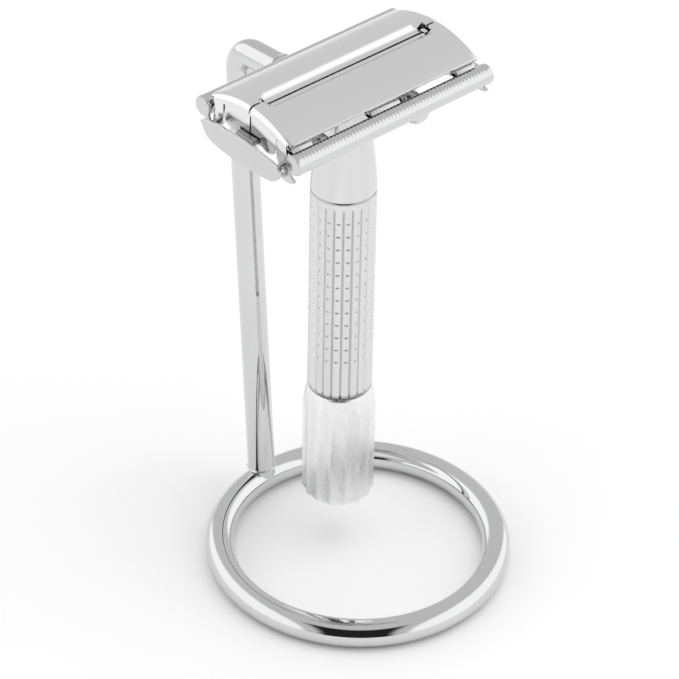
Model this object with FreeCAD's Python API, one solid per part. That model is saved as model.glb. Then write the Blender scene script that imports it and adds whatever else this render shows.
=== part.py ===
import FreeCAD, Part
import math
import os
from FreeCAD import Vector

# Twist-to-open safety razor hanging in its wire stand. Millimetres, +Z up.
# Origin: centre of the foot ring, on the table. +X runs along the razor's head,
# +Y points to the stand's upright. Parts of the razor are drawn about the handle's
# own axis and moved to it by save_razor().

# ---- driving dimensions: stand ----
wire_r = 2.5
ring_r = 25.0
ring_axis_z = 2.4                  # under the wire radius, so the foot has a ground flat
post_foot = Vector(-1.5, 25.0, ring_axis_z)
post_corner = Vector(-0.3, 33.4, 92.05)
arm_end = Vector(-0.3, 19.2, 93.18)
post_bend_r = 4.2
tine_x = 10.1
tine_z = 92.25
tine_tip_y = -6.6                  # from the handle's axis
fork_back_y = 3.5                  # centre of the fork's round back, from the handle's axis
fork_turn_deg = -4.5
weld_r = 0.45

# ---- driving dimensions: razor ----
razor_y = 5.8                      # the handle's axis in the stand
knob_bottom_z = 11.7
knob_top_z = 35.4
knob_r = 6.45
knob_collar_z = 33.0
knob_collar_r = 5.8
knob_flutes = 15
grip_bottom_z = 35.9
grip_top_z = 77.0
grip_r = 5.75
grip_bore_r = 3.8
grip_flutes = 22
neck_top_z = 92.0
neck_top_r = 4.4
neck_collar_r = 2.6
rod_r = 1.5
rod_stub_r = 1.1
rod_bottom_z = 52.0
nut_r = 3.5
nut_z = (41.0, 55.0)
spindle_r = 1.9
spindle_z = (28.5, 51.5)
running_gap = 0.05

# ---- driving dimensions: head ----
bar_half_length = 21.5
bar_r = 1.8
bar_y = 11.4
bar_z = 96.65
bar_ribs = 56
rib_depth = 0.12
guard_half_length = 20.0
guard_top_z = 97.85
sheet = 0.9
trough_half_width = 3.8
trough_wall = 0.8
trough_floor_z = 94.9
well_half_length = 4.8
centre_bar_top_z = 100.1
crown_z = 102.0
door_r = 21.3
door_sheet = 0.8
door_half_length = 21.0
door_half_width = 10.15
door_gap = 0.15                    # from each door's inner edge to the middle plane
door_centre_z = crown_z - door_r
hinge_y = 8.3
hinge_z = 94.9
hinge_pin_r = 0.6
flange_x = (20.3, 21.0)
ear_x = (20.3, 20.9)
lobe_x = (20.3, 20.75)
end_plate_x = (22.2, 22.9)
end_plate_skin = 0.2               # metal left over the pins in the plate
rivet_r = 0.7
rivet_z = 94.4
bridge_z = (93.0, 94.0)
tongue_half_width = 2.2
frame_y = (2.4, 3.6)
frame_z = (95.9, 96.8)
post_x = 12.0                      # the two posts that hold the centre bar
post_r = 0.9
lug_x = (21.5, 22.2)
lug_bottom_z = 92.6

parts_folder = "parts"
X_AXIS = Vector(1, 0, 0)
Y_AXIS = Vector(0, 1, 0)
Z_AXIS = Vector(0, 0, 1)
ORIGIN = Vector(0, 0, 0)


# ---- small helpers ----
def box(x0, x1, y0, y1, z0, z1):
    return Part.makeBox(x1 - x0, y1 - y0, z1 - z0, Vector(x0, y0, z0))


def rod_z(radius, z0, z1, x=0.0, y=0.0):
    return Part.makeCylinder(radius, z1 - z0, Vector(x, y, z0), Z_AXIS)


def rod_x(radius, x0, x1, y, z):
    return Part.makeCylinder(radius, x1 - x0, Vector(x0, y, z), X_AXIS)


def turned(profile):
    """A solid of revolution about Z from (radius, z) corners."""
    points = [Vector(r, 0, z) for r, z in profile]
    face = Part.Face(Part.makePolygon(points + [points[0]]))
    return face.revolve(ORIGIN, Z_AXIS, 360)


def plate_yz(outline, x0, x1):
    """A flat plate across X from (y, z) corners."""
    points = [Vector(x0, y, z) for y, z in outline]
    face = Part.Face(Part.makePolygon(points + [points[0]]))
    return face.extrude(Vector(x1 - x0, 0, 0))


def mirrored_x(shape):
    return shape.mirror(ORIGIN, X_AXIS)


def mirrored_y(shape):
    return shape.mirror(ORIGIN, Y_AXIS)


def both_ends(shape):
    return [shape, mirrored_x(shape)]


def fuse(shapes):
    return shapes[0].multiFuse(shapes[1:]).removeSplitter()


def save(node, shape):
    shape.exportStep(os.path.join(parts_folder, node + ".step"))


def save_razor(node, shape):
    moved = shape.copy()
    moved.translate(Vector(0, razor_y, 0))
    save(node, moved)


def bent_wire(points, bend_r, radius):
    """A round wire along straight runs joined by tangent arcs."""
    edges = []
    start = points[0]
    for before, corner, after in zip(points, points[1:], points[2:]):
        run_in = (before - corner).normalize()
        run_out = (after - corner).normalize()
        half_turn = (math.pi - run_in.getAngle(run_out)) / 2
        setback = bend_r * math.tan(half_turn)
        first = corner + run_in * setback
        last = corner + run_out * setback
        inward = (run_in + run_out).normalize()
        middle = corner + inward * (bend_r / math.cos(half_turn) - bend_r)
        edges.append(Part.makeLine(start, first))
        edges.append(Part.Arc(first, middle, last).toShape())
        start = last
    edges.append(Part.makeLine(start, points[-1]))
    section = Part.Wire(Part.makeCircle(radius, points[0], points[1] - points[0]))
    return Part.Wire(edges).makePipeShell([section], True, False)


# ---- stand ----
def stand_ring():
    ring = Part.makeTorus(ring_r, wire_r, Vector(0, 0, ring_axis_z))
    under_floor = box(-40, 40, -40, 40, -5, 0)
    return ring.cut(under_floor)


def stand_fork():
    """A U of wire round the neck, open towards the front; the head rests on it."""
    tip_dome = 1.8                 # how far the flattened round tips reach past the tines
    arc_middle = Vector(0, fork_back_y + tine_x, tine_z)
    left = Vector(-tine_x, fork_back_y, tine_z)
    right = Vector(tine_x, fork_back_y, tine_z)
    pieces = []
    for back in (left, right):
        front = Vector(back.x, tine_tip_y, tine_z)
        pieces.append(Part.makeCylinder(wire_r, fork_back_y - tine_tip_y, front, Y_AXIS))
        past_tip = box(-20, 20, tine_tip_y - 5, tine_tip_y - tip_dome, 80, 100)
        pieces.append(Part.makeSphere(wire_r, front).cut(past_tip))
    back_path = Part.Wire(Part.Arc(left, arc_middle, right).toShape())
    section = Part.Wire(Part.makeCircle(wire_r, left, Y_AXIS))
    pieces.append(back_path.makePipeShell([section], True, False))
    fork = fuse(pieces)
    fork.rotate(ORIGIN, Z_AXIS, fork_turn_deg)
    fork.translate(Vector(0, razor_y, 0))
    return fork


def stand_post(ring, fork):
    """Upright, tight bend and short arm: one wire, coped to the ring and the fork."""
    post = bent_wire([post_foot, post_corner, arm_end], post_bend_r, wire_r)
    return post.cut(ring).cut(fork)


def weld_bead(wire, centre, along, others):
    """A thin fillet of weld round a wire where it meets another."""
    bead = Part.makeTorus(wire_r, weld_r, centre, along)
    bead = bead.cut(wire)
    for other in others:
        bead = bead.cut(other)
    return bead


def save_stand():
    ring = stand_ring()
    fork = stand_fork()
    post = stand_post(ring, fork)
    upright = (post_corner - post_foot).normalize()
    arm = (arm_end - post_corner).normalize()
    foot_joint = post_foot + upright * (wire_r + 0.2)
    fork_joint = arm_end - arm * 2.9
    save("stand_ring", ring)
    save("stand_fork", fork)
    save("stand_post", post)
    save("foot_weld", weld_bead(post, foot_joint, upright, [ring]))
    save("fork_weld", weld_bead(post, fork_joint, arm, [fork]))


# ---- handle ----
def handle_tube():
    tube = rod_z(grip_r, grip_bottom_z, grip_top_z)
    tube = tube.cut(rod_z(grip_bore_r, grip_bottom_z, grip_top_z))
    flute_r = 0.55
    depth = 0.22
    centre_r = grip_r + flute_r - depth
    z0 = grip_bottom_z + 0.6
    z1 = grip_top_z - 0.6
    flutes = []
    for i in range(grip_flutes):
        angle = 2 * math.pi * i / grip_flutes
        x = centre_r * math.cos(angle)
        y = centre_r * math.sin(angle)
        flutes.append(rod_z(flute_r, z0, z1, x, y))
    return tube.cut(Part.makeCompound(flutes))


def neck():
    """Smooth cone under the head, with a spigot in the tube and a staked collar."""
    spigot_z = grip_top_z - 7.0
    bore_r = rod_r + running_gap
    return turned([
        (bore_r, spigot_z),
        (grip_bore_r, spigot_z),
        (grip_bore_r, grip_top_z),
        (grip_r, grip_top_z),
        (grip_r, grip_top_z + 1.2),
        (4.75, grip_top_z + 11.0),
        (neck_top_r, neck_top_z),
        (neck_collar_r, neck_top_z),
        (neck_collar_r, neck_top_z + trough_wall),
        (bore_r, neck_top_z + trough_wall),
    ])


def bearing_bush():
    bush = rod_z(grip_bore_r, grip_bottom_z, grip_bottom_z + 3.5)
    return bush.cut(rod_z(spindle_r + running_gap, grip_bottom_z, grip_bottom_z + 3.5))


def thrust_washer():
    z0 = knob_top_z + running_gap
    washer = rod_z(4.9, z0, grip_bottom_z)
    return washer.cut(rod_z(spindle_r + running_gap, z0, grip_bottom_z))


# ---- guard ----
def ribbed_bar():
    """The rolled edge of the guard, ribbed so that lather drains past the blade."""
    pitch = 2 * (bar_half_length - 1.0) / bar_ribs
    profile = [(0.0, -bar_half_length), (bar_r - 0.3, -bar_half_length),
               (bar_r, -bar_half_length + 0.3)]
    for i in range(bar_ribs):
        groove = -bar_half_length + 1.0 + (i + 0.5) * pitch
        profile.append((bar_r, groove - 0.35 * pitch))
        profile.append((bar_r - rib_depth, groove))
        profile.append((bar_r, groove + 0.35 * pitch))
    profile += [(bar_r, bar_half_length - 0.3), (bar_r - 0.3, bar_half_length),
                (0.0, bar_half_length)]
    bar = turned(profile)
    bar.rotate(ORIGIN, Y_AXIS, 90)
    bar.translate(Vector(0, bar_y, bar_z))
    return bar


def drain_slot(x0, x1):
    """Slot with round corners between a blade rail and its bar."""
    y0, y1, corner = 7.7, 10.8, 1.0
    z0, z1 = guard_top_z - sheet - 1, guard_top_z + 1
    return fuse([
        box(x0 + corner, x1 - corner, y0, y1, z0, z1),
        box(x0, x1, y0 + corner, y1, z0, z1),
        rod_z(corner, z0, z1, x0 + corner, y0 + corner),
        rod_z(corner, z0, z1, x1 - corner, y0 + corner),
    ])


def corner_tab():
    """Pointed tab under the end of a bar, which covers the blade's corner."""
    outline = [(8.4, 93.9), (8.0, 93.4), (8.7, 92.8), (10.2, 92.8), (11.6, 93.2),
               (12.1, 93.7), (11.2, 94.3), (10.6, 95.6), (9.9, 95.9), (9.4, 95.0), (9.2, 94.2)]
    return plate_yz(outline, ear_x[1] + 0.15, bar_half_length)


def guard_plate():
    """Blade rails and bars each side of a long trough, with a deeper well in the middle."""
    long = guard_half_length
    wall_y = trough_half_width + trough_wall
    well_x = well_half_length + trough_wall
    floor_top = trough_floor_z + 0.6
    rail = box(-long, long, trough_half_width, 10.6, guard_top_z - sheet, guard_top_z)
    for x0, x1 in ((3.2, 15.9), (-15.9, -3.2)):
        rail = rail.cut(drain_slot(x0, x1))
    side = [rail, ribbed_bar()] + both_ends(corner_tab())
    trough = fuse([
        box(-long, long, -wall_y, wall_y, trough_floor_z, guard_top_z),
        box(-well_x, well_x, -wall_y, wall_y, neck_top_z, guard_top_z),
    ])
    hollow = fuse([
        box(-long, long, -trough_half_width, trough_half_width, floor_top, guard_top_z),
        box(-well_half_length, well_half_length, -trough_half_width, trough_half_width,
            neck_top_z + trough_wall, guard_top_z),
    ])
    guard = fuse([trough.cut(hollow)] + side + [mirrored_y(piece) for piece in side])
    holes = [rod_z(neck_collar_r, neck_top_z, neck_top_z + trough_wall)]
    for x in (-post_x, post_x):
        holes.append(rod_z(post_r, trough_floor_z, floor_top, x))
    return guard.cut(Part.makeCompound(holes))


def centre_bar():
    """Spine under the blade, with a lug at each end for the blade's slot."""
    low = centre_bar_top_z - sheet
    bar = box(-18.4, 18.4, -1.9, 1.9, low, centre_bar_top_z)
    lug = box(17.1, 17.9, -0.7, 0.7, low, centre_bar_top_z + 1.2)
    bar = fuse([bar] + both_ends(lug))
    return bar.cut(centre_bar_posts())


def centre_bar_posts():
    post = rod_z(post_r, trough_floor_z, centre_bar_top_z, post_x)
    return Part.makeCompound(both_ends(post))


# ---- carrier: what the rod lifts ----
def carrier_frame():
    """Two rails that pass the centre bar, on a sunk bridge; a tongue at each end."""
    low, high = frame_z
    inner, outer = frame_y
    wide = tongue_half_width
    window = box(-19.2, 19.2, -inner, inner, bridge_z[1], high)
    rails = box(-20.0, 20.0, -outer, outer, low, high)
    bridge = box(-2.4, 2.4, -outer, outer, bridge_z[0], high)
    tongue = box(19.2, end_plate_x[0], -wide, wide, low, high)
    lug = box(lug_x[0], lug_x[1], -wide, wide, lug_bottom_z, high)
    frame = fuse([rails, bridge]).cut(window)
    frame = fuse([frame] + both_ends(tongue) + both_ends(lug))
    holes = [rod_z(rod_stub_r, bridge_z[0], bridge_z[1])]
    holes += both_ends(rod_x(rivet_r, lug_x[0], lug_x[1], 0, rivet_z))
    return frame.cut(Part.makeCompound(holes))


def end_plate():
    """Boat-shaped plate outside the right end of the head; it carries both hinges."""
    x0, x1 = end_plate_x
    top_y, top_z = 8.7, 96.0
    tip_y, tip_z = 9.8, 94.6
    low_y, low_z = 6.9, 92.15

    def at(y, z):
        return Vector(x0, y, z)

    edges = [
        Part.Arc(at(-top_y, top_z), at(0, 96.6), at(top_y, top_z)),
        Part.Arc(at(top_y, top_z), at(9.55, 95.5), at(tip_y, tip_z)),
        Part.Arc(at(tip_y, tip_z), at(8.9, 93.1), at(low_y, low_z)),
        Part.Arc(at(low_y, low_z), at(0, 91.65), at(-low_y, low_z)),
        Part.Arc(at(-low_y, low_z), at(-8.9, 93.1), at(-tip_y, tip_z)),
        Part.Arc(at(-tip_y, tip_z), at(-9.55, 95.5), at(-top_y, top_z)),
    ]
    face = Part.Face(Part.Wire([edge.toShape() for edge in edges]))
    plate = face.extrude(Vector(x1 - x0, 0, 0))
    holes = [rod_x(rivet_r, x0, x1 - end_plate_skin, 0, rivet_z)]
    for y in (-hinge_y, hinge_y):
        holes.append(rod_x(hinge_pin_r, x0, x1 - end_plate_skin, y, hinge_z))
    return plate.cut(Part.makeCompound(holes))


def end_plate_rivets():
    rivet = rod_x(rivet_r, lug_x[0], end_plate_x[1] - end_plate_skin, 0, rivet_z)
    head = rod_x(1.2, lug_x[0] - 0.3, lug_x[0], 0, rivet_z)
    return Part.makeCompound(both_ends(rivet.fuse(head)))


def hinge_pins(y):
    """Headed pins, pressed in the end plates, that one door swings on."""
    inner = ear_x[0] - 0.02
    pin = rod_x(hinge_pin_r, inner, end_plate_x[1] - end_plate_skin, y, hinge_z)
    head = rod_x(0.95, inner - 0.16, inner, y, hinge_z)
    return Part.makeCompound(both_ends(pin.fuse(head)))


def pull_rod():
    rod = rod_z(rod_r, rod_bottom_z, bridge_z[0])
    return rod.fuse(rod_z(rod_stub_r, bridge_z[0], bridge_z[1]))


def rod_nut():
    """Long nut on the rod's lower end; the spindle's screw drives it up and down."""
    low, high = nut_z
    nut = rod_z(nut_r, low, high)
    nut = nut.cut(rod_z(spindle_r + running_gap, low, rod_bottom_z))
    return nut.cut(rod_z(rod_r, rod_bottom_z, high))


# ---- doors ----
def door_shell(outer_r, inner_r, y0, y1, x0, x1):
    """A stretch of the curved cap between two radii about the door's centre line."""
    def arc_point(radius, y):
        return Vector(x0, y, door_centre_z + math.sqrt(radius ** 2 - y ** 2))

    def arc(radius, start, end):
        middle = (start + end) / 2
        return Part.Arc(arc_point(radius, start), arc_point(radius, middle),
                        arc_point(radius, end)).toShape()

    edges = [
        arc(outer_r, y0, y1),
        Part.makeLine(arc_point(outer_r, y1), arc_point(inner_r, y1)),
        arc(inner_r, y1, y0),
        Part.makeLine(arc_point(inner_r, y0), arc_point(outer_r, y0)),
    ]
    return Part.Face(Part.Wire(edges)).extrude(Vector(x1 - x0, 0, 0))


def door_ear():
    """Narrow leg at the right end that runs down from the flange to the hinge pin."""
    outline = [(6.7, 101.5), (6.7, 95.7), (7.2, 94.6), (7.5, 94.1), (8.3, 93.75), (9.1, 94.1),
               (9.4, 94.9), (9.15, 96.0), (9.05, 98.6), (9.2, 101.5)]
    leg = plate_yz(outline, ear_x[0], ear_x[1])
    hole = rod_x(hinge_pin_r + running_gap, ear_x[0], ear_x[1], hinge_y, hinge_z)
    return leg.cut(hole)


def door_lobe():
    """Thin closing panel beside the leg; its lower corner clears the carrier's tongue."""
    outline = [(door_gap, 101.5), (door_gap, 97.1), (2.5, 97.1), (2.5, 96.2), (3.2, 95.5),
               (4.4, 95.2), (5.6, 95.5), (6.2, 96.1), (6.45, 97.0), (6.45, 101.5)]
    return plate_yz(outline, lobe_x[0], lobe_x[1])


def rear_door():
    """Half of the cap: curved shell, end flanges, sunk inner lip, legs and end panels."""
    long = door_half_length
    groove_x = 17.2
    groove_y = 1.0
    lip_y = 1.7
    lip_z = 101.0
    shell = door_shell(door_r, door_r - door_sheet, door_gap, door_half_width, -long, long)
    flange = door_shell(door_r, door_r - 1.5, door_gap, 9.5, flange_x[0], flange_x[1])
    under_crown = rod_x(door_r - door_sheet / 2, flange_x[0], flange_x[1], 0, door_centre_z)
    end = door_ear().fuse(door_lobe()).common(under_crown).fuse(flange)
    groove = box(-groove_x, groove_x, -1, groove_y, lip_z, crown_z + 1)
    lip = box(-groove_x, groove_x, door_gap, lip_y, lip_z - 0.6, lip_z)
    wall = box(-groove_x, groove_x, groove_y, lip_y, lip_z - 0.6, lip_z + 0.5)
    door = fuse([shell.cut(groove), lip, wall] + both_ends(end))
    notches = both_ends(box(16.9, 18.1, -1, 1.1, 99, crown_z + 1))
    return door.cut(Part.makeCompound(notches))


# ---- knob ----
def knob():
    """Fluted shell with a conical collar, hollow from below, closed by the end cap."""
    cavity_r = 4.6
    hub_z = 30.0
    edge = 0.8
    shell = turned([
        (cavity_r, knob_bottom_z), (knob_r - edge, knob_bottom_z),
        (knob_r, knob_bottom_z + edge), (knob_r, knob_collar_z),
        (knob_collar_r, knob_top_z), (spindle_r, knob_top_z),
        (spindle_r, hub_z), (cavity_r, hub_z),
    ])
    flute_r = 3.0
    depth = 0.25
    flutes = []
    for i in range(knob_flutes):
        angle = 2 * math.pi * i / knob_flutes
        x = (knob_r + flute_r - depth) * math.cos(angle)
        y = (knob_r + flute_r - depth) * math.sin(angle)
        flutes.append(rod_z(flute_r, knob_bottom_z - 1, knob_collar_z - 0.2, x, y))
    shell = shell.cut(Part.makeCompound(flutes))
    return shell.cut(knob_cross_pin())


def knob_end_cap():
    return rod_z(4.6, knob_bottom_z, knob_bottom_z + 1.5)


def knob_cross_pin():
    return rod_x(0.5, -4.5, 4.5, 0, 32.0)


def knob_spindle():
    """Screw that stands up from the knob into the handle; its thread is left plain."""
    spindle = rod_z(spindle_r, spindle_z[0], spindle_z[1])
    return spindle.cut(knob_cross_pin())


def retaining_ring():
    z0 = grip_bottom_z + 3.5 + 0.1
    return rod_z(3.1, z0, z0 + 0.6).cut(rod_z(spindle_r, z0, z0 + 0.6))


def save_all():
    os.makedirs(parts_folder, exist_ok=True)
    save_stand()
    door = rear_door()
    plate = end_plate()
    razor_parts = {
        "handle_tube": handle_tube(),
        "neck": neck(),
        "bearing_bush": bearing_bush(),
        "thrust_washer": thrust_washer(),
        "guard_plate": guard_plate(),
        "centre_bar": centre_bar(),
        "centre_bar_posts": centre_bar_posts(),
        "carrier_frame": carrier_frame(),
        "end_plate_right": plate,
        "end_plate_left": mirrored_x(plate),
        "end_plate_rivets": end_plate_rivets(),
        "front_hinge_pins": hinge_pins(-hinge_y),
        "rear_hinge_pins": hinge_pins(hinge_y),
        "pull_rod": pull_rod(),
        "rod_nut": rod_nut(),
        "rear_door": door,
        "front_door": mirrored_y(door),
        "knob": knob(),
        "knob_end_cap": knob_end_cap(),
        "knob_spindle": knob_spindle(),
        "knob_cross_pin": knob_cross_pin(),
        "retaining_ring": retaining_ring(),
    }
    for node, shape in razor_parts.items():
        save_razor(node, shape)


save_all()
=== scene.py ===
import math

import bmesh
import bpy
from mathutils import Matrix, Vector


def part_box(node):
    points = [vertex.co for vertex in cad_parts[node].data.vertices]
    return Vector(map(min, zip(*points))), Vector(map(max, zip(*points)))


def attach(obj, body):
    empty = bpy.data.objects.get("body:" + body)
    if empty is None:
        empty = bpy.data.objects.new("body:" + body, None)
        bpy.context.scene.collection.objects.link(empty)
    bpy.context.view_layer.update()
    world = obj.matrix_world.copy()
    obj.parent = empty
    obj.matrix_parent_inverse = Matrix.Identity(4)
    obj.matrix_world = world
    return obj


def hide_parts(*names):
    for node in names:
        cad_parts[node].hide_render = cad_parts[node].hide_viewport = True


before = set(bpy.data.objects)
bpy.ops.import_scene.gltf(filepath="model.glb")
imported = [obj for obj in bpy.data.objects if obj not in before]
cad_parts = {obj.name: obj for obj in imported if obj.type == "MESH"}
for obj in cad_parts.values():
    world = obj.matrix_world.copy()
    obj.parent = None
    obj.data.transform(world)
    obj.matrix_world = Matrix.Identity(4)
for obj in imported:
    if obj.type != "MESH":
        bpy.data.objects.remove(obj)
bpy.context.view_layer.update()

MM = 0.001                     # sizes below are millimetres; meshes are in metres

# ---- places read from the CAD frame, in millimetres ----


def cad_box(node):
    """A CAD node's low and high corners in millimetres."""
    low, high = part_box(node)
    return low / MM, high / MM


ring_high = cad_box("stand_ring")[1]
tube_low, tube_high = cad_box("handle_tube")
knob_low, knob_high = cad_box("knob")
neck_low, neck_high = cad_box("neck")
guard_high = cad_box("guard_plate")[1]
door_high = cad_box("rear_door")[1]
post_high = cad_box("stand_post")[1]
fork_high = cad_box("stand_fork")[1]
plate_low, plate_high = cad_box("end_plate_right")
spine_high = cad_box("centre_bar")[1]
cap_low, cap_high = cad_box("knob_end_cap")

AXIS_Y = (tube_low.y + tube_high.y) / 2          # the handle's axis
WIRE_R = 2.5
RING_R = ring_high.x - WIRE_R
RING_AXIS_Z = ring_high.z - WIRE_R
BAR_R = 1.8
BAR_Y = guard_high.y - AXIS_Y - BAR_R
BAR_Z = guard_high.z - BAR_R
CROWN_Z = door_high.z
DOOR_R = 21.3
DOOR_CENTRE_Z = CROWN_Z - DOOR_R
DOOR_WIDTH = 10.15
DOOR_LENGTH = 21.0
LEG_X = (20.3, 20.9)
PANEL_X = (20.3, 20.75)
TAB_X = (21.05, 21.5)
RAIL_TOP_Z = 97.85
RAIL_HALF = 20.0
SLOT_X = (3.2, 15.9)
TROUGH_Z = 94.9
SMOOTH_DEG = 32                # edges sharper than this stay sharp
HINGE_Y = 8.3
HINGE_Z = 94.9
PIN_HOLE_R = 0.65                # the hinge pins are 0.6
COLLAR_HOLE_R = 2.6             # the neck's collar, which the rod runs through


# ---- mesh helpers ----
def make_piece(name, verts, faces, material, sharp_deg=SMOOTH_DEG):
    """A mesh object in metres from points in millimetres."""
    mesh = bpy.data.meshes.new(name)
    mesh.from_pydata([Vector(v) * MM for v in verts], [], faces)
    mesh.validate()
    piece = bpy.data.objects.new(name, mesh)
    bpy.context.scene.collection.objects.link(piece)
    finish_normals(piece, sharp_deg)
    piece.data.materials.append(material)
    return piece


def finish_normals(piece, sharp_deg):
    """Outward faces, smooth shading and sharp edges where the angle is large."""
    bm = bmesh.new()
    bm.from_mesh(piece.data)
    bmesh.ops.recalc_face_normals(bm, faces=bm.faces)
    bm.to_mesh(piece.data)
    bm.free()
    for polygon in piece.data.polygons:
        polygon.use_smooth = True
    piece.data.set_sharp_from_angle(angle=math.radians(sharp_deg))


def join(name, pieces):
    """One object from several, keeping the first one's material."""
    bm = bmesh.new()
    for piece in pieces:
        bm.from_mesh(piece.data)
    joined = pieces[0]
    bm.to_mesh(joined.data)
    bm.free()
    for piece in pieces[1:]:
        bpy.data.objects.remove(piece)
    joined.name = name
    for polygon in joined.data.polygons:
        polygon.use_smooth = True
    joined.data.set_sharp_from_angle(angle=math.radians(SMOOTH_DEG))
    return joined


def bevel(piece, width, segments=3, angle_deg=30):
    """Rounds every edge that bends by more than angle_deg."""
    bm = bmesh.new()
    bm.from_mesh(piece.data)
    limit = math.radians(angle_deg)
    edges = [e for e in bm.edges if len(e.link_faces) == 2 and e.calc_face_angle() > limit]
    bmesh.ops.bevel(bm, geom=edges, offset=width * MM, offset_type="OFFSET",
                    segments=segments, profile=0.5, affect="EDGES", clamp_overlap=True)
    bm.to_mesh(piece.data)
    bm.free()
    finish_normals(piece, SMOOTH_DEG)
    return piece


def mirror_copy(piece, name, axis):
    """A copy mirrored about the middle of the head: axis 0 swaps X, axis 1 swaps Y."""
    copy = piece.copy()
    copy.data = piece.data.copy()
    copy.name = name
    bpy.context.scene.collection.objects.link(copy)
    middle = 0.0 if axis == 0 else AXIS_Y * MM
    for vertex in copy.data.vertices:
        vertex.co[axis] = 2 * middle - vertex.co[axis]
    copy.data.flip_normals()
    finish_normals(copy, SMOOTH_DEG)
    return copy


def grid_faces(rows, columns, wrap_rows=False, wrap_columns=False):
    """Quads over a grid of points, row by row, closed on itself where asked."""
    faces = []
    for i in range(rows if wrap_rows else rows - 1):
        for j in range(columns if wrap_columns else columns - 1):
            a = i * columns + j
            b = i * columns + (j + 1) % columns
            c = ((i + 1) % rows) * columns + (j + 1) % columns
            d = ((i + 1) % rows) * columns + j
            faces.append((a, b, c, d))
    return faces


def fillet(points, radius, steps=4):
    """Rounds the inner corners of an open line of 2-D points."""
    out = [Vector(points[0])]
    for before, corner, after in zip(points, points[1:], points[2:]):
        before, corner, after = Vector(before), Vector(corner), Vector(after)
        to_before = before - corner
        to_after = after - corner
        reach = min(radius, to_before.length * 0.45, to_after.length * 0.45)
        start = corner + to_before.normalized() * reach
        end = corner + to_after.normalized() * reach
        for i in range(steps + 1):
            t = i / steps
            out.append(start * (1 - t) ** 2 + corner * 2 * t * (1 - t) + end * t ** 2)
    out.append(Vector(points[-1]))
    return out


def turned_points(profile, segments, centre, shape):
    """(radius, z) points taken round a vertical axis; shape(angle, radius, z) can cut in."""
    verts = []
    for radius, z in profile:
        for j in range(segments):
            angle = 2 * math.pi * j / segments
            r = shape(angle, radius, z) if shape else radius
            verts.append((centre[0] + r * math.cos(angle), centre[1] + r * math.sin(angle), z))
    return verts


def lathe(name, profile, material, segments=128, centre=(0.0, 0.0), shape=None):
    """A turned solid whose profile starts and ends on the axis."""
    verts = turned_points(profile, segments, centre, shape)
    faces = grid_faces(len(profile), segments, wrap_columns=True)
    piece = make_piece(name, verts, faces, material)
    merge_close(piece)
    return piece


def merge_close(piece, distance=0.0005):
    """Joins the points that coincide at a turned piece's centre."""
    bm = bmesh.new()
    bm.from_mesh(piece.data)
    bmesh.ops.remove_doubles(bm, verts=bm.verts, dist=distance * MM)
    bm.to_mesh(piece.data)
    bm.free()
    finish_normals(piece, SMOOTH_DEG)


def closed_lathe(name, profile, material, segments=128, centre=(0.0, 0.0), shape=None):
    """A turned solid whose profile is a closed loop of (radius, z) points."""
    verts = turned_points(profile, segments, centre, shape)
    faces = grid_faces(len(profile), segments, wrap_rows=True, wrap_columns=True)
    return make_piece(name, verts, faces, material)


def tube(name, path, radii, material, segments=64):
    """A round wire along a path of points, with its own radius at each point."""
    verts = []
    side = None
    for i, point in enumerate(path):
        ahead = path[min(i + 1, len(path) - 1)] - path[max(i - 1, 0)]
        direction = ahead.normalized()
        if side is None:
            side = direction.orthogonal().normalized()
        side = (side - direction * side.dot(direction)).normalized()
        up = direction.cross(side)
        for j in range(segments):
            angle = 2 * math.pi * j / segments
            verts.append(point + (side * math.cos(angle) + up * math.sin(angle)) * radii[i])
    faces = grid_faces(len(path), segments, wrap_columns=True)
    faces.append(tuple(range(segments))[::-1])
    faces.append(tuple(range((len(path) - 1) * segments, len(path) * segments)))
    return make_piece(name, verts, faces, material, 50)


def plate(name, near, far, material, round_edge, segments, across_x=False):
    """A plate between two matching loops of points, with rounded edges."""
    count = len(near)
    first, last = tuple(range(count)), tuple(range(count, 2 * count))
    faces = [first, last[::-1]] if across_x else [first[::-1], last]
    for i in range(count):
        k = (i + 1) % count
        faces.append((i, k, count + k, count + i))
    piece = make_piece(name, near + far, faces, material)
    return bevel(piece, round_edge, segments)


def prism(name, outline, x0, x1, material, round_edge=0.1, segments=3):
    """A flat plate across X from (y, z) points about the handle's axis."""
    near, far = ([(x, AXIS_Y + y, z) for y, z in outline] for x in (x0, x1))
    return plate(name, near, far, material, round_edge, segments, across_x=True)


def slab(name, outline, z0, z1, material, round_edge=0.1, segments=3):
    """A flat plate across Z from (x, y) points about the handle's axis."""
    near, far = ([(x, AXIS_Y + y, z) for x, y in outline] for z in (z0, z1))
    return plate(name, near, far, material, round_edge, segments)


def strip(name, outline, y0, y1, material, round_edge=0.1, segments=3):
    """A bent strip: an (x, z) outline drawn across Y, about the handle's axis."""
    near, far = ([(x, AXIS_Y + y, z) for x, z in outline] for y in (y0, y1))
    return plate(name, near, far, material, round_edge, segments)


def block(name, x0, x1, y0, y1, z0, z1, material, round_edge=0.1, segments=3):
    outline = [(x0, y0), (x1, y0), (x1, y1), (x0, y1)]
    return slab(name, outline, z0, z1, material, round_edge, segments)


def apply_modifiers(piece):
    """Makes the piece's modifiers part of its mesh."""
    depsgraph = bpy.context.evaluated_depsgraph_get()
    mesh = bpy.data.meshes.new_from_object(piece.evaluated_get(depsgraph))
    piece.modifiers.clear()
    piece.data = mesh


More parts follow.
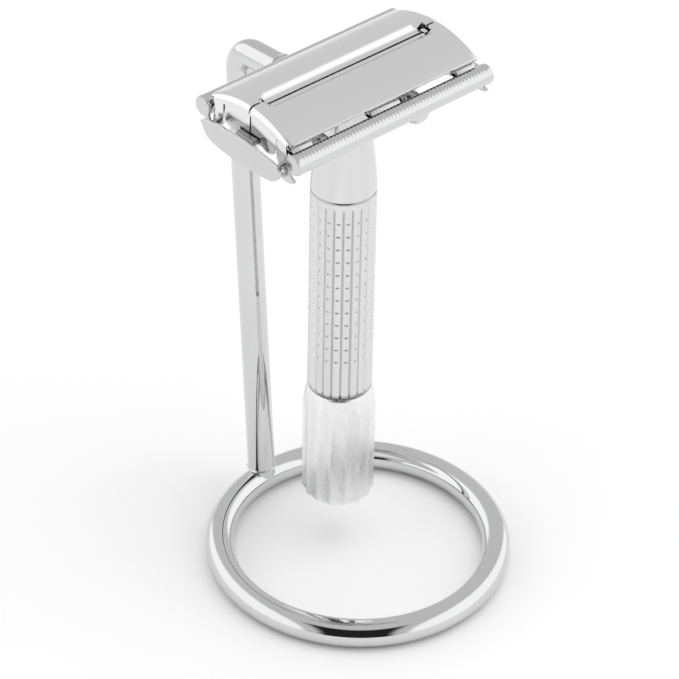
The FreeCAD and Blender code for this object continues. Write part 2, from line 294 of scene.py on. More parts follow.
def drill(piece, centre, direction, radius, reach):
    """Cuts a round hole through a piece, along a direction through a centre point."""
    ends = [centre - direction * reach, centre + direction * reach]
    cutter = tube("cutter", ends, [radius, radius], piece.data.materials[0], 32)
    modifier = piece.modifiers.new("hole", "BOOLEAN")
    modifier.operation = "DIFFERENCE"
    modifier.solver = "EXACT"
    modifier.object = cutter
    apply_modifiers(piece)
    bpy.data.objects.remove(cutter)
    finish_normals(piece, SMOOTH_DEG)
    return piece


def arc_points(centre, radius, start_deg, end_deg, steps):
    points = []
    for i in range(steps + 1):
        angle = math.radians(start_deg + (end_deg - start_deg) * i / steps)
        points.append((centre[0] + radius * math.cos(angle),
                       centre[1] + radius * math.sin(angle)))
    return points


def smooth_step(value, low, high):
    """0 below low, 1 above high, and an even curve between."""
    t = min(max((value - low) / (high - low), 0.0), 1.0)
    return t * t * (3 - 2 * t)


# ---- materials ----
def material_base(name):
    material = bpy.data.materials.new(name)
    material.use_nodes = True
    nodes = material.node_tree.nodes
    shader = nodes["Principled BSDF"]
    return material, nodes, material.node_tree.links, shader


def noise_value(nodes, links, scale, stretch=(1.0, 1.0, 1.0), detail=3.0):
    """Noise in the object's own metres, stretched along chosen axes."""
    coordinates = nodes.new("ShaderNodeTexCoord")
    mapping = nodes.new("ShaderNodeMapping")
    mapping.inputs["Scale"].default_value = stretch
    texture = nodes.new("ShaderNodeTexNoise")
    texture.inputs["Scale"].default_value = scale
    texture.inputs["Detail"].default_value = detail
    links.new(coordinates.outputs["Object"], mapping.inputs["Vector"])
    links.new(mapping.outputs["Vector"], texture.inputs["Vector"])
    return texture.outputs["Fac"]


def ranged(nodes, links, value, low, high):
    remap = nodes.new("ShaderNodeMapRange")
    remap.inputs["From Min"].default_value = 0.3
    remap.inputs["From Max"].default_value = 0.7
    remap.inputs["To Min"].default_value = low
    remap.inputs["To Max"].default_value = high
    links.new(value, remap.inputs["Value"])
    return remap.outputs["Result"]


def tinted(nodes, links, value, dark, light):
    mix = nodes.new("ShaderNodeMix")
    mix.data_type = "RGBA"
    mix.inputs["A"].default_value = (*dark, 1)
    mix.inputs["B"].default_value = (*light, 1)
    links.new(value, mix.inputs["Factor"])
    return mix.outputs["Result"]


def bumped(nodes, links, shader, value, strength, distance):
    bump = nodes.new("ShaderNodeBump")
    bump.inputs["Strength"].default_value = strength
    bump.inputs["Distance"].default_value = distance
    links.new(value, bump.inputs["Height"])
    links.new(bump.outputs["Normal"], shader.inputs["Normal"])


def metal(name, dark, light, rough_low, rough_high, grain=(1.0, 1.0, 1.0),
          grain_scale=900.0, bump_strength=0.03, cloud_scale=60.0, painted_streak_stretch=(1, 1, 1)):
    """Plated or bare metal: cloudy tint, uneven polish and a fine grain; a tint squeezed into
    upright streaks is painted reflection.
    """
    material, nodes, links, shader = material_base(name)
    shader.inputs["Metallic"].default_value = 1.0
    clouds = noise_value(nodes, links, cloud_scale, painted_streak_stretch)
    fine = noise_value(nodes, links, grain_scale, grain, 2.0)
    links.new(tinted(nodes, links, clouds, dark, light), shader.inputs["Base Color"])
    links.new(ranged(nodes, links, fine, rough_low, rough_high), shader.inputs["Roughness"])
    bumped(nodes, links, shader, fine, bump_strength, 0.00002)
    return material


def grey(level, tint=0.0):
    return (level, level + tint * 0.3, level + tint)


CHROME_WIRE = metal("chrome_wire", grey(0.64), grey(0.70, 0.008), 0.015, 0.045,
                    bump_strength=0.01)
# Handle and knob: the tint clouds are squeezed into upright light and dark streaks, painted
# reflection streaks in the colour.
CHROME_HANDLE = metal("chrome_handle", grey(0.64), grey(0.78, 0.006), 0.12, 0.18,
                      (1, 1, 0.15), 1400.0, 0.02, 420.0, (1, 1, 0.04))
CHROME_KNOB = metal("chrome_knob", grey(0.74), grey(0.96, 0.004), 0.24, 0.30,
                    (1, 1, 0.15), 1400.0, 0.01, 420.0, (1, 1, 0.03))
SATIN_DOOR = metal("satin_door", grey(0.80), grey(0.84, 0.004), 0.16, 0.22,
                   (0.08, 1, 1), 2600.0, 0.02)
PLATED_GUARD = metal("plated_guard", grey(0.60), grey(0.68, 0.006), 0.20, 0.28,
                     (0.2, 1, 1), 1600.0, 0.02)
PLATED_BRACKET = metal("plated_bracket", grey(0.60), grey(0.67, 0.006), 0.16, 0.24,
                       (1, 0.2, 1), 1600.0, 0.03)
# Painted shade: the lifting frame's grey is darkened to stand in for the shade it sits in under
# the doors.
PAINTED_SHADE_BRACKET = metal("painted_shade_bracket", grey(0.24), grey(0.32, 0.006), 0.22, 0.34,
                     (1, 0.2, 1), 1600.0, 0.05)
TURNED_STEEL = metal("turned_steel", grey(0.48), grey(0.56, 0.01), 0.22, 0.36,
                     (0.3, 0.3, 6.0), 900.0, 0.08)
TURNED_BRASS = metal("turned_brass", (0.62, 0.47, 0.22), (0.74, 0.58, 0.30), 0.20, 0.34,
                     (0.3, 0.3, 6.0), 900.0, 0.08)
WELD_METAL = metal("weld_metal", grey(0.66), grey(0.76, 0.006), 0.10, 0.20,
                   (1, 1, 1), 500.0, 0.10)


def floor_material():
    material, nodes, links, shader = material_base("studio_floor")
    shader.inputs["Roughness"].default_value = 0.9
    shader.inputs["Specular IOR Level"].default_value = 0.1
    clouds = noise_value(nodes, links, 3.0)
    links.new(tinted(nodes, links, clouds, grey(0.90), grey(0.92)),
              shader.inputs["Base Color"])
    return material


# ---- stand ----
def stand_ring():
    verts = []
    around, section = 256, 64
    for i in range(around):
        a = 2 * math.pi * i / around
        for j in range(section):
            b = 2 * math.pi * j / section
            r = RING_R + WIRE_R * math.cos(b)
            z = max(RING_AXIS_Z + WIRE_R * math.sin(b), 0.0)
            verts.append((r * math.cos(a), r * math.sin(a), z))
    faces = grid_faces(around, section, wrap_rows=True, wrap_columns=True)
    return make_piece("foot_ring", verts, faces, CHROME_WIRE, 60)


def bent_path(points, bend_r, bend_steps=24):
    """Straight runs joined by a tangent arc at each inner point."""
    path = [points[0]]
    for before, corner, after in zip(points, points[1:], points[2:]):
        run_in = (before - corner).normalized()
        run_out = (after - corner).normalized()
        half_turn = (math.pi - run_in.angle(run_out)) / 2
        setback = bend_r * math.tan(half_turn)
        inward = (run_in + run_out).normalized()
        centre = corner + inward * (bend_r / math.cos(half_turn))
        first = corner + run_in * setback - centre
        last = corner + run_out * setback - centre
        turn = first.angle(last)
        for i in range(bend_steps + 1):
            t = i / bend_steps
            blend = first * math.sin((1 - t) * turn) + last * math.sin(t * turn)
            path.append(centre + blend / math.sin(turn))
    path.append(points[-1])
    return path


POST_FOOT = Vector((-1.5, RING_R, RING_AXIS_Z))
POST_CORNER = Vector((-0.3, post_high.y - 2.64, 92.05))
ARM_END = Vector((-0.3, 19.2, 93.18))


def stand_post():
    path = bent_path([POST_FOOT, POST_CORNER, ARM_END], 4.2)
    return tube("upright_and_arm", path, [WIRE_R] * len(path), CHROME_WIRE)


def fork_point(x, y):
    """A point of the fork's centre line, turned with the fork about the handle's axis."""
    turn = math.radians(-4.5)
    return Vector((x * math.cos(turn) - y * math.sin(turn),
                   AXIS_Y + x * math.sin(turn) + y * math.cos(turn),
                   fork_high.z - WIRE_R))


def stand_fork():
    tine_x, back_y, tip_y, dome = 10.1, 3.5, -6.6, 1.8
    left, radii = [], []
    for i in range(13):
        t = i / 12
        left.append((-tine_x, tip_y - dome * math.cos(t * math.pi / 2)))
        radii.append(WIRE_R * max(math.sin(t * math.pi / 2), 0.02))
    middle = arc_points((0, back_y), tine_x, 180, 0, 48)
    right = [(-x, y) for x, y in reversed(left)]
    path = [fork_point(x, y) for x, y in left + middle + right]
    radii = radii + [WIRE_R] * len(middle) + radii[::-1]
    return tube("hanging_fork", path, radii, CHROME_WIRE)


def weld_bead(name, centre, along, replaced):
    """A slightly lumpy bead round the wire at a joint."""
    direction = along.normalized()
    side = direction.orthogonal().normalized()
    up = direction.cross(side)
    verts = []
    around, section, bead_r = 96, 20, 0.20
    for i in range(around):
        a = 2 * math.pi * i / around
        out = side * math.cos(a) + up * math.sin(a)
        lump = 0.03 * math.sin(5 * a) + 0.02 * math.sin(11 * a + 1.0)
        for j in range(section):
            b = 2 * math.pi * j / section
            r = bead_r + lump
            verts.append(centre + out * (WIRE_R + r * math.cos(b)) + direction * r * math.sin(b))
    faces = grid_faces(around, section, wrap_rows=True, wrap_columns=True)
    bead = make_piece(name, verts, faces, WELD_METAL, 60)
    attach(bead, "stand")
    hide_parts(replaced)


# ---- handle ----
GRIP_R = 5.75
GRIP_RIBS = 22
DIMPLE_ROWS = 12
DIMPLE_TOP_Z = 73.2
DIMPLE_PITCH = 2.667


def grip_shape(angle, radius, z):
    """Narrow grooves between crowned ribs, and a short dash pressed in along each rib."""
    if radius < GRIP_R - 1.0:
        return radius
    across = (angle * GRIP_RIBS / (2 * math.pi)) % 1.0
    off_middle = abs(across - 0.5) * 2
    fade = smooth_step(tube_high.z - 0.7 - z, 0.0, 1.1)
    crown = 0.10 * off_middle ** 2
    groove = 0.34 * smooth_step(off_middle, 0.74, 0.96)
    cut = (crown + groove) * fade
    row = (DIMPLE_TOP_Z - z) / DIMPLE_PITCH
    nearest = round(row)
    if 0 <= nearest < DIMPLE_ROWS:
        up_down = abs(row - nearest) * DIMPLE_PITCH / 0.20
        sideways = off_middle / 0.42
        reach = up_down ** 2 + sideways ** 4
        if reach < 1.0:
            cut += 0.22 * (1.0 - reach) ** 0.5
    return radius - cut


def grip_levels():
    """Heights along the grip, close together at each row of dashes."""
    levels = set()
    z = tube_low.z + 0.35
    while z < tube_high.z - 0.35:
        levels.add(round(z, 3))
        z += 0.5
    for i in range(DIMPLE_ROWS):
        middle = DIMPLE_TOP_Z - i * DIMPLE_PITCH
        for k in range(-5, 6):
            levels.add(round(middle + 0.045 * k, 3))
    for k in range(8):
        levels.add(round(tube_high.z - 0.7 - 0.18 * k, 3))
    return sorted(levels)


def handle_tube():
    bore = 3.8
    edge = 0.3
    profile = [(bore, tube_low.z), (GRIP_R - edge, tube_low.z),
               (GRIP_R - 0.09, tube_low.z + 0.09)]
    profile += [(GRIP_R, z) for z in grip_levels()]
    profile += [(GRIP_R - 0.07, tube_high.z - 0.08), (GRIP_R - edge, tube_high.z),
                (bore, tube_high.z)]
    return closed_lathe("ribbed_grip", profile, CHROME_HANDLE, GRIP_RIBS * 20,
                        (0, AXIS_Y), grip_shape)


def neck():
    base = neck_low.z + 7.0
    top = neck_high.z - 0.8
    outer = [(3.8, base), (5.3, base), (5.35, base + 0.2), (5.74, base + 0.45), (5.74, base + 1.2),
             (5.45, base + 5.0), (4.75, base + 11.0), (4.4, top), (2.6, top)]
    outer = fillet(outer, 0.5, 5)
    profile = [(1.55, neck_low.z), (3.8, neck_low.z)] + [tuple(p) for p in outer]
    profile += [(2.6, neck_high.z), (1.55, neck_high.z)]
    return closed_lathe("neck_cone", profile, CHROME_HANDLE, 160, (0, AXIS_Y))


# ---- knob ----
KNOB_R = 6.45
KNOB_FLUTES = 15


def knob_shape(angle, radius, z):
    if radius < 4.7:
        return radius
    across = (angle * KNOB_FLUTES / (2 * math.pi)) % 1.0
    valley = 0.36 * math.sin(math.pi * across) ** 1.2
    collar = 5.75 + (knob_high.z - z) * 0.20
    low_edge = z - knob_low.z
    round_r = 0.9
    rounding = 0.0
    if low_edge < round_r:
        rounding = round_r - math.sqrt(max(round_r ** 2 - (round_r - low_edge) ** 2, 0.0))
    return min(KNOB_R - valley - rounding, collar - 0.6 * rounding, radius)


def knob():
    bottom, top = knob_low.z, knob_high.z
    levels = [bottom + 0.9 * (1 - math.cos(i * math.pi / 16)) for i in range(1, 9)]
    levels += [bottom + 1.0 + 0.75 * i for i in range(26)]
    levels += [top - 4.6 + 0.08 * i for i in range(54)]
    profile = [(4.6, bottom), (5.5, bottom)]
    profile += [(KNOB_R, z) for z in sorted(levels)]
    profile += [(5.68, top - 0.06), (5.5, top), (1.95, top), (1.95, 30.0), (4.6, 30.0)]
    return closed_lathe("fluted_knob", profile, CHROME_KNOB, KNOB_FLUTES * 18,
                        (0, AXIS_Y), knob_shape)


def knob_cap():
    low, high = cap_low.z, cap_high.z
    profile = [(0.0, low + 0.35), (2.0, low + 0.3), (3.4, low + 0.12), (4.1, low),
               (4.5, low + 0.08), (4.6, low + 0.3), (4.6, high), (0.0, high)]
    return lathe("knob_foot_cap", profile, CHROME_KNOB, 96, (0, AXIS_Y))


# ---- guard ----
def ribbed_bar(side):
    """The guard's rolled edge along X, with close rounded ribs."""
    half = guard_high.x
    ribs, plain = 56, 1.0
    pitch = 2 * (half - plain) / ribs
    stations = [(-half, BAR_R - 0.25), (-half + 0.07, BAR_R - 0.08), (-half + 0.25, BAR_R)]
    for i in range(ribs * 8 + 1):
        x = -half + plain + pitch * i / 8
        wave = 0.5 - 0.5 * math.cos(2 * math.pi * i / 8)
        stations.append((x, BAR_R - 0.045 * wave))
    stations += [(half - 0.25, BAR_R), (half - 0.07, BAR_R - 0.08), (half, BAR_R - 0.25)]
    verts = []
    segments = 56
    for x, radius in stations:
        for j in range(segments):
            angle = 2 * math.pi * j / segments
            verts.append((x, AXIS_Y + side * (BAR_Y + radius * math.cos(angle)),
                          BAR_Z + radius * math.sin(angle)))
    faces = grid_faces(len(stations), segments, wrap_columns=True)
    faces.append(tuple(range(segments)))
    faces.append(tuple(range((len(stations) - 1) * segments, len(stations) * segments)))
    return make_piece("bar", verts, faces, PLATED_GUARD, 40)


def rail_outline(side):
    """Comb-shaped blade rail: two slots with round corners open towards the bar."""
    inner, outer, slot_y, r = 3.8, 10.6, 7.7, 1.0
    near_x, far_x = SLOT_X

    def slot(x0, x1):
        points = [(x0, outer)]
        points += arc_points((x0 + r, slot_y + r), r, 180, 270, 6)
        points += arc_points((x1 - r, slot_y + r), r, 270, 360, 6)
        return points + [(x1, outer)]

    points = [(-RAIL_HALF, inner), (-RAIL_HALF, outer)]
    points += slot(-far_x, -near_x) + slot(near_x, far_x)
    points += [(RAIL_HALF, outer), (RAIL_HALF, inner)]
    return [(x, side * y) for x, y in points]


def corner_tab(side, end):
    """Pointed leaf under the end of a bar."""
    outline = [(8.4, 93.9), (8.0, 93.4), (8.3, 92.95), (9.2, 92.8), (10.4, 92.8),
               (11.4, 93.1), (12.1, 93.7), (11.5, 94.0), (10.9, 94.6), (10.6, 95.6),
               (9.9, 95.9), (9.4, 95.0), (9.2, 94.2)]
    outline = [(side * y, z) for y, z in outline]
    return prism("tab", outline, end * TAB_X[0], end * TAB_X[1], PLATED_GUARD, 0.15, 4)


def web_slopes(side):
    """The webs between the drain slots, which slope down to the rolled bar."""
    line = [(8.6, 97.0), (8.6, 98.2), (9.1, 98.75), (10.5, 97.55), (10.9, 97.3), (10.9, 97.0)]
    line = [(side * y, z) for y, z in line]
    near_x, far_x = SLOT_X
    spans = [(-RAIL_HALF, -far_x), (-near_x, near_x), (far_x, RAIL_HALF)]
    return [prism("web", line, x0, x1, PLATED_GUARD, 0.12) for x0, x1 in spans]


def guard():
    top, floor_z = RAIL_TOP_Z, TROUGH_Z
    pieces = []
    for side in (-1, 1):
        pieces.append(ribbed_bar(side))
        pieces.append(slab("rail", rail_outline(side), top - 0.9, top, PLATED_GUARD, 0.12))
        pieces += web_slopes(side)
        for end in (-1, 1):
            pieces.append(corner_tab(side, end))
        wall_in, wall_out = sorted((side * 3.8, side * 4.6))
        pieces.append(block("wall", -20, 20, wall_in, wall_out, floor_z, top, PLATED_GUARD))
        pieces.append(block("well_side", -5.6, 5.6, wall_in, wall_out, neck_high.z - 0.8,
                            floor_z + 0.4, PLATED_GUARD))
    for end in (-1, 1):
        near, far = sorted((end * 4.8, end * 20.0))
        pieces.append(block("floor", near, far, -4.2, 4.2, floor_z, floor_z + 0.6,
                            PLATED_GUARD))
        near, far = sorted((end * 4.8, end * 5.6))
        pieces.append(block("well_end", near, far, -4.2, 4.2, neck_high.z - 0.8,
                            floor_z + 0.4, PLATED_GUARD))
    well_floor = block("well_floor", -5.2, 5.2, -4.2, 4.2, neck_high.z - 0.8,
                       neck_high.z, PLATED_GUARD)
    middle = Vector((0, AXIS_Y, neck_high.z - 0.4))
    pieces.append(drill(well_floor, middle, Vector((0, 0, 1)), COLLAR_HOLE_R, 2.0))
    return join("guard_and_bars", pieces)


def centre_spine():
    low, high = 99.2, 100.1
    pieces = [block("spine", -18.4, 18.4, -1.9, 1.9, low, high, PLATED_BRACKET, 0.25, 4)]
    for end in (-1, 1):
        near, far = sorted((end * 17.1, end * 17.9))
        pieces.append(block("lug", near, far, -0.7, 0.7, low + 0.2, spine_high.z,
                            PLATED_BRACKET, 0.2, 4))
    return join("blade_spine", pieces)


# ---- carrier and end plates ----
def carrier():
    # The frame's dark grey is painted shade, not the plating's own colour.
    low, high = 95.9, 96.8
    pieces = []
    for side in (-1, 1):
        y0, y1 = sorted((side * 2.4, side * 3.6))
        pieces.append(block("rail", -19.6, 19.6, y0, y1, low, high, PAINTED_SHADE_BRACKET))
        pieces.append(block("drop", -2.4, 2.4, y0, y1, 93.0, high - 0.05, PAINTED_SHADE_BRACKET))
        x0, x1 = sorted((side * 19.2, side * 20.0))
        pieces.append(block("end", x0, x1, -3.6, 3.6, low, high, PAINTED_SHADE_BRACKET))
        inner, outer, bend = 21.5, 22.2, 0.9
        strip_line = [(19.4, high)] + arc_points((outer - bend, high - bend), bend, 90, 0, 8)
        strip_line += [(outer, 92.6), (inner, 92.6), (inner, low - 0.1), (inner - 0.2, low),
                       (19.4, low)]
        line = [(side * x, z) for x, z in strip_line]
        pieces.append(strip("tongue", line, -2.2, 2.2, PAINTED_SHADE_BRACKET, 0.12))
    pieces.append(block("bridge", -2.4, 2.4, -3.0, 3.0, 93.0, 94.0, PAINTED_SHADE_BRACKET))
    return join("lifting_frame", pieces)


def end_plate():
    """Boat-shaped plate at the right end, with a soft rim."""
    def through(a, b, c, steps):
        """Points of the arc through three (y, z) points."""
        ax, ay, bx, by, cx, cy = *a, *b, *c
        d = 2 * (ax * (by - cy) + bx * (cy - ay) + cx * (ay - by))
        ux = ((ax**2 + ay**2) * (by - cy) + (bx**2 + by**2) * (cy - ay)
              + (cx**2 + cy**2) * (ay - by)) / d
        uy = ((ax**2 + ay**2) * (cx - bx) + (bx**2 + by**2) * (ax - cx)
              + (cx**2 + cy**2) * (bx - ax)) / d
        radius = math.hypot(ax - ux, ay - uy)
        start = math.degrees(math.atan2(ay - uy, ax - ux))
        end = math.degrees(math.atan2(cy - uy, cx - ux))
        turn = (end - start + 180) % 360 - 180
        return arc_points((ux, uy), radius, start, start + turn, steps)[:-1]

    corner, shoulder, tip = (8.7, 96.0), (9.55, 95.5), (9.8, 94.6)
    cheek, low = (8.9, 93.1), (6.9, 92.15)
    half = through((0, 96.6), (4.4, 96.45), corner, 8)
    half += through(corner, shoulder, tip, 6)
    half += through(tip, cheek, low, 8)
    half += through(low, (3.5, 91.78), (0, 91.65), 8)
    outline = half + [(-y, z) for y, z in [(0, 91.65)] + half[:0:-1]]
    x0, x1 = plate_low.x, plate_high.x
    return prism("end_plate_r", outline, x0, x1, PLATED_BRACKET, 0.22, 4)


# ---- doors ----
GROOVE_X = 16.9
NOTCH_END_X = 18.1
ROLL_Y = 2.3
LIP_Y = 1.0
LIP_Z = 101.0
END_BEND = 1.3
FLANGE_DROP = 1.5
FLANGE_Y = 9.5


def door_stations():
    """Places along X with how far the end flange has dropped there."""
    flat = [0, 3, 6, 9, 12, 15, 16.2, GROOVE_X, NOTCH_END_X, 19.0, DOOR_LENGTH - END_BEND]
    stations = [(x, 0.0) for x in flat]
    for i in range(1, 11):
        a = i * math.pi / 20
        stations.append((DOOR_LENGTH - END_BEND + END_BEND * math.sin(a),
                         END_BEND * (1 - math.cos(a))))
    stations.append((DOOR_LENGTH, FLANGE_DROP))
    return [(-x, drop) for x, drop in reversed(stations[1:])] + stations


def door_widths():
    roll = ROLL_Y - LIP_Y
    widths = [0.22, 0.6, LIP_Y]
    widths += [LIP_Y + roll * i / 10 for i in range(1, 11)]
    widths += [ROLL_Y + (FLANGE_Y - ROLL_Y) * i / 18 for i in range(1, 19)]
    return widths + [9.8, 10.0, DOOR_WIDTH]


def door_height(y, in_groove):
    plain = DOOR_CENTRE_Z + math.sqrt(DOOR_R ** 2 - y ** 2)
    if not in_groove or y >= ROLL_Y:
        return plain
    if y <= LIP_Y:
        return LIP_Z
    t = (ROLL_Y - y) / (ROLL_Y - LIP_Y)
    edge = DOOR_CENTRE_Z + math.sqrt(DOOR_R ** 2 - ROLL_Y ** 2)
    slope = 0.75 * t + 0.25 * (3 * t ** 2 - 2 * t ** 3)
    return edge - (edge - LIP_Z) * slope


def door_sheet():
    """The curved cap half as one bent sheet, given its thickness inwards."""
    stations = door_stations()
    widths = door_widths()
    verts = []
    for x, drop in stations:
        in_groove = abs(x) <= GROOVE_X + 0.01
        for y in widths:
            z = door_height(y, in_groove)
            inward = Vector((0, -y, DOOR_CENTRE_Z - z)).normalized() * drop
            verts.append((x, AXIS_Y + y + inward.y, z + inward.z))
    columns = len(widths)
    faces = []
    for face in grid_faces(len(stations), columns):
        i, j = face[0] // columns, face[0] % columns
        near, far = sorted((abs(stations[i][0]), abs(stations[i + 1][0])))
        over_notch = near >= GROOVE_X - 0.01 and far <= NOTCH_END_X + 0.01
        if over_notch and widths[j + 1] <= 1.3:
            continue
        past_flange = max(stations[i][1], stations[i + 1][1]) > 0.45
        if past_flange and widths[j] >= FLANGE_Y - 0.05:
            continue
        faces.append(face)
    sheet = make_piece("door", verts, faces, SATIN_DOOR)
    solidify(sheet, 0.55)
    return bevel(sheet, 0.06, 2, 50)


def solidify(piece, thickness):
    """Gives a sheet its thickness, inwards from the outer face."""
    modifier = piece.modifiers.new("thickness", "SOLIDIFY")
    modifier.thickness = thickness * MM
    modifier.offset = -1.0
    modifier.use_even_offset = True
    apply_modifiers(piece)


def under_crown(y):
    """Height of the underside of the flange, where legs and panels start."""
    return DOOR_CENTRE_Z + math.sqrt((DOOR_R - 0.9) ** 2 - y ** 2)


def door_end(end):
    """The leg down to the hinge pin and the closing panel beside it, at one end."""
    leg_line = [(9.05, 98.4), (9.15, 96.0), (9.4, 94.9), (9.1, 94.1), (8.3, 93.75),
                (7.5, 94.1), (7.2, 94.6), (6.7, 95.7)]
    leg_line += [(6.7, under_crown(6.7)), (9.05, under_crown(9.05))]
    panel_line = [(6.45, 97.0), (6.2, 96.1), (5.6, 95.5), (4.4, 95.2), (3.2, 95.5),
                  (2.5, 96.2), (2.5, 97.1), (0.15, 97.1)]
    panel_line += [(y, under_crown(y)) for y in (0.15, 2.0, 4.0, 6.45)]
    leg_x = sorted(end * x for x in LEG_X)
    panel_x = sorted(end * x for x in PANEL_X)
    leg = prism("leg", leg_line, leg_x[0], leg_x[1], SATIN_DOOR, 0.10)
    hinge = Vector(((leg_x[0] + leg_x[1]) / 2, AXIS_Y + HINGE_Y, HINGE_Z))
    drill(leg, hinge, Vector((1, 0, 0)), PIN_HOLE_R, 2.0)
    panel = prism("panel", panel_line, panel_x[0], panel_x[1], SATIN_DOOR, 0.10)
    return [leg, panel]


def rear_door():
    pieces = [door_sheet()] + door_end(1) + door_end(-1)
    return join("rear_door_sheet", pieces)


# ---- studio ----
VIEW_AZIMUTH = math.radians(-42.05)
VIEW_ELEVATION = math.radians(37.14)
VIEW_ROLL = math.radians(1.16)
VIEW_DISTANCE = 0.6163
VIEW_LENS = 189.84
AIM_Z = 0.060                  # metres; the two below centre the picture
AIM_RIGHT = -0.00043
AIM_UP = -0.01225
FLOOR_HALF = 1.5               # metres, the same on every side of the object


def studio_floor():
    """A plain pale table top, just under the ring and the same on every side."""
    drop = -0.00002
    corners = [(-FLOOR_HALF, -FLOOR_HALF, drop), (FLOOR_HALF, -FLOOR_HALF, drop),
               (FLOOR_HALF, FLOOR_HALF, drop), (-FLOOR_HALF, FLOOR_HALF, drop)]
    mesh = bpy.data.meshes.new("studio_floor")
    mesh.from_pydata(corners, [], [(0, 1, 2, 3)])
    mesh.materials.append(floor_material())
    floor = bpy.data.objects.new("studio_floor", mesh)
    bpy.context.scene.collection.objects.link(floor)


def view_axes():
    """The camera's right, up and backward directions."""
    a, e = VIEW_AZIMUTH, VIEW_ELEVATION
    back = Vector((math.sin(a) * math.cos(e), -math.cos(a) * math.cos(e), math.sin(e)))
    right = Vector((math.cos(a), math.sin(a), 0))
    up = back.cross(right)
    c, s = math.cos(VIEW_ROLL), math.sin(VIEW_ROLL)
    return right * c + up * s, up * c - right * s, back


def camera():
    right, up, back = view_axes()
    aim = Vector((0, AXIS_Y * MM, AIM_Z)) + right * AIM_RIGHT + up * AIM_UP
    data = bpy.data.cameras.new("camera")
    data.lens = VIEW_LENS
    data.sensor_width = 36.0
    data.clip_start = 0.01
    data.dof.use_dof = False
    cam = bpy.data.objects.new("camera", data)
    bpy.context.scene.collection.objects.link(cam)
    rotation = Matrix((right, up, back)).transposed().to_4x4()
    cam.matrix_world = Matrix.Translation(aim + back * VIEW_DISTANCE) @ rotation
    bpy.context.scene.camera = cam


def area_light(name, azimuth_deg, elevation_deg, distance, size, energy, in_reflections):
    """A soft panel that faces the object, placed by angles about it."""
    a, e = math.radians(azimuth_deg), math.radians(elevation_deg)
    away = Vector((math.sin(a) * math.cos(e), -math.cos(a) * math.cos(e), math.sin(e)))
    data = bpy.data.lights.new(name, "AREA")
    data.shape = "RECTANGLE"
    data.size, data.size_y = size
    data.energy = energy
    light = bpy.data.objects.new(name, data)
    bpy.context.scene.collection.objects.link(light)
    light.location = Vector((0, 0, 0.05)) + away * distance
    light.rotation_euler = away.to_track_quat("Z", "Y").to_euler()
    light.visible_glossy = in_reflections


BACK_WALL = 0.70               # brightness of the tent's back and roof
SIDE_WALL = 1.30
OPEN_FRONT = 0.03


def sky_tools(nodes, links):
    """Makers of the three kinds of node that the sky is built from."""
    coordinates = nodes.new("ShaderNodeTexCoord")

    def dot_with(direction):
        node = nodes.new("ShaderNodeVectorMath")
        node.operation = "DOT_PRODUCT"
        node.inputs[1].default_value = direction
        links.new(coordinates.outputs["Generated"], node.inputs[0])
        return node.outputs["Value"]

    def ramp(value, low, high, at_low, at_high):
        node = nodes.new("ShaderNodeMapRange")
        node.interpolation_type = "SMOOTHSTEP"
        node.inputs["From Min"].default_value = low
        node.inputs["From Max"].default_value = high
        node.inputs["To Min"].default_value = at_low
        node.inputs["To Max"].default_value = at_high
        links.new(value, node.inputs["Value"])
        return node.outputs["Result"]

    def combine(operation, first, second=None):
        node = nodes.new("ShaderNodeMath")
        node.operation = operation
        links.new(first, node.inputs[0])
        if second is not None:
            links.new(second, node.inputs[1])
        return node.outputs["Value"]

    return dot_with, ramp, combine


def world_sky():
    """A light tent: white sides, grey back and roof, and a dark open front."""
    world = bpy.data.worlds.new("studio")
    bpy.context.scene.world = world
    world.use_nodes = True
    nodes = world.node_tree.nodes
    links = world.node_tree.links
    background = nodes["Background"]
    dot_with, ramp, combine = sky_tools(nodes, links)
    right = Vector((math.cos(VIEW_AZIMUTH), math.sin(VIEW_AZIMUTH), 0))
    towards = Vector((math.sin(VIEW_AZIMUTH), -math.cos(VIEW_AZIMUTH), 0))
    sideways = combine("ABSOLUTE", dot_with(right))
    forward = dot_with(towards)
    height = dot_with((0, 0, 1))
    side_white = combine("MULTIPLY", ramp(sideways, 0.50, 0.66, 0.0, 1.0),
                         ramp(height, 0.80, 0.90, 1.0, 0.0))
    walls = ramp(side_white, 0.0, 1.0, BACK_WALL, SIDE_WALL)
    front = combine("MULTIPLY", ramp(sideways, 0.30, 0.50, 1.0, 0.0),
                    ramp(forward, 0.15, 0.35, 0.0, 1.0))
    front = combine("MULTIPLY", front, ramp(height, 0.85, 0.92, 1.0, 0.0))
    brightness = combine("MULTIPLY", walls, ramp(front, 0.0, 1.0, 1.0, OPEN_FRONT))
    links.new(brightness, background.inputs["Strength"])
    background.inputs["Color"].default_value = (1.0, 1.0, 1.0, 1.0)


# ---- assembly ----
camera()
studio_floor()
world_sky()
area_light("overhead", 20, 80, 1.2, (1.4, 1.4), 8.0, False)

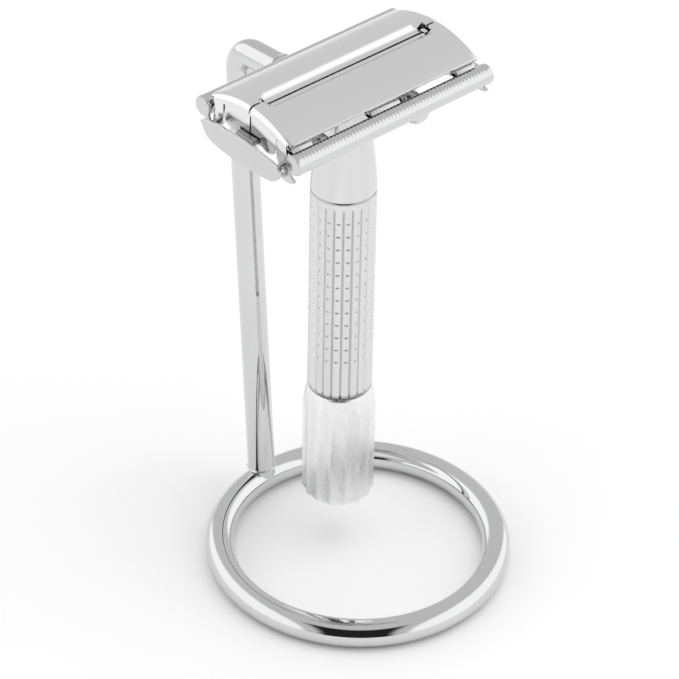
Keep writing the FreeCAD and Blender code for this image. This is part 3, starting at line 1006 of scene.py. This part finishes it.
VISIBLE = [
    (stand_ring, "stand", "stand_ring", "chrome_wire"),
    (stand_post, "stand", "stand_post", "chrome_wire"),
    (stand_fork, "stand", "stand_fork", "chrome_wire"),
    (handle_tube, "razor", "handle_tube", "chrome_handle"),
    (neck, "razor", "neck", "chrome_handle"),
    (guard, "razor", "guard_plate", "plated_guard"),
    (centre_spine, "razor", "centre_bar", "plated_bracket"),
    (knob, "knob_body", "knob", "chrome_knob"),
    (knob_cap, "knob_body", "knob_end_cap", "chrome_knob"),
    (carrier, "carrier", "carrier_frame", "plated_bracket"),
]
for build, body, node, slot_name in VISIBLE:
    made = build()
    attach(made, body)
    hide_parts(node)

UPRIGHT = POST_CORNER - POST_FOOT
FOOT_BEAD = POST_FOOT + UPRIGHT.normalized() * 2.7
FORK_BEAD = Vector((-0.3, 22.0, 92.95))
weld_bead("foot_weld_bead", FOOT_BEAD, UPRIGHT, "foot_weld")
weld_bead("fork_weld_bead", FORK_BEAD, ARM_END - POST_CORNER, "fork_weld")

right_plate = end_plate()
left_plate = mirror_copy(right_plate, "end_plate_l", 0)
for made, node in ((right_plate, "end_plate_right"), (left_plate, "end_plate_left")):
    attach(made, "carrier")
    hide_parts(node)

back_door = rear_door()
near_door = mirror_copy(back_door, "front_door_sheet", 1)
for made, body, node in ((back_door, "door_rear", "rear_door"),
                         (near_door, "door_front", "front_door")):
    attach(made, body)
    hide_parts(node)

KEPT_NODES = {
    "bearing_bush": TURNED_BRASS,
    "rod_nut": TURNED_BRASS,
    "thrust_washer": TURNED_STEEL,
    "centre_bar_posts": TURNED_STEEL,
    "end_plate_rivets": PLATED_BRACKET,
    "front_hinge_pins": TURNED_STEEL,
    "rear_hinge_pins": TURNED_STEEL,
    "pull_rod": TURNED_STEEL,
    "knob_spindle": TURNED_STEEL,
    "knob_cross_pin": TURNED_STEEL,
    "retaining_ring": TURNED_STEEL,
}
for node, finish in KEPT_NODES.items():
    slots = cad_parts[node].material_slots
    for entry in slots:
        entry.material = finish

bpy.context.scene.view_settings.view_transform = "Standard"
